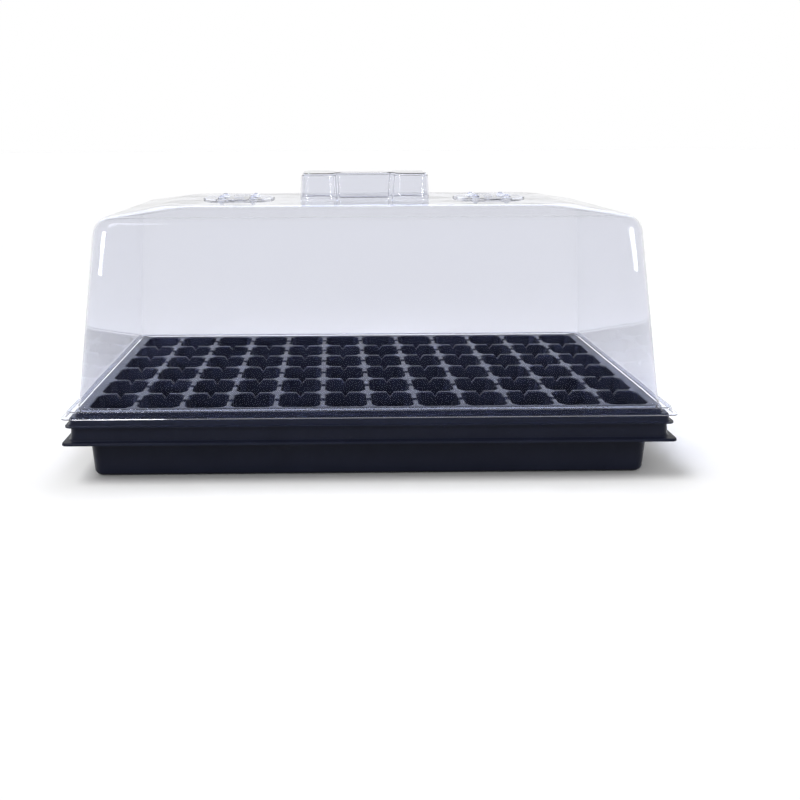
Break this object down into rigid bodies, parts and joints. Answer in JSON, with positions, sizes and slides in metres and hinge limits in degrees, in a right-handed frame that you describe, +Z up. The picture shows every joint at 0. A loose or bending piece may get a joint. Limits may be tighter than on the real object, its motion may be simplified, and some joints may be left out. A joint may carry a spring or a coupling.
{
  "type": "humidity dome tray",
  "caption": "Clear humidity dome with a moulded grip and turning vent dials, over a black seedling cell tray in a water tray.",
  "frame": {"origin": "middle of the water tray's underside, on the surface it stands on", "axes": "+X along the long side, +Y to the back, +Z up"},
  "size_m": [0.54, 0.28, 0.266],
  "materials": {
    "base_black": "semi-gloss formed styrene sheet",
    "tray_black": "semi-gloss formed styrene sheet",
    "dome_clear": "clear glossy formed PET sheet",
    "dial_clear": "clear glossy moulded plastic"
  },
  "bodies": {
    "base_tray": {"base_tray": "base_black"},
    "cell_tray": {"cell_tray_rim": "tray_black", "cell_column_01": "tray_black", "cell_column_02": "tray_black", "cell_column_03": "tray_black", "cell_column_04": "tray_black", "cell_column_05": "tray_black", "cell_column_06": "tray_black", "cell_column_07": "tray_black", "cell_column_08": "tray_black", "cell_column_09": "tray_black", "cell_column_10": "tray_black", "cell_column_11": "tray_black", "cell_column_12": "tray_black"},
    "dome": {"dome": "dome_clear"},
    "vent_dial_left": {"vent_dial_left": "dial_clear"},
    "vent_dial_right": {"vent_dial_right": "dial_clear"}
  },
  "joints": [
    {"name": "cell_tray_lift", "type": "slide", "parent": "base_tray", "child": "cell_tray", "axis": [0, 0, 1], "range_m": [0, 0.1]},
    {"name": "dome_lift", "type": "slide", "parent": "cell_tray", "child": "dome", "axis": [0, 0, 1], "range_m": [0, 0.2]},
    {"name": "vent_dial_left_turn", "type": "hinge", "parent": "dome", "child": "vent_dial_left", "pos_m": [-0.127, 0, 0.239], "axis": [0, 0, 1], "range_deg": [-45, 45]},
    {"name": "vent_dial_right_turn", "type": "hinge", "parent": "dome", "child": "vent_dial_right", "pos_m": [0.127, 0, 0.239], "axis": [0, 0, 1], "range_deg": [-45, 45]}
  ]
}
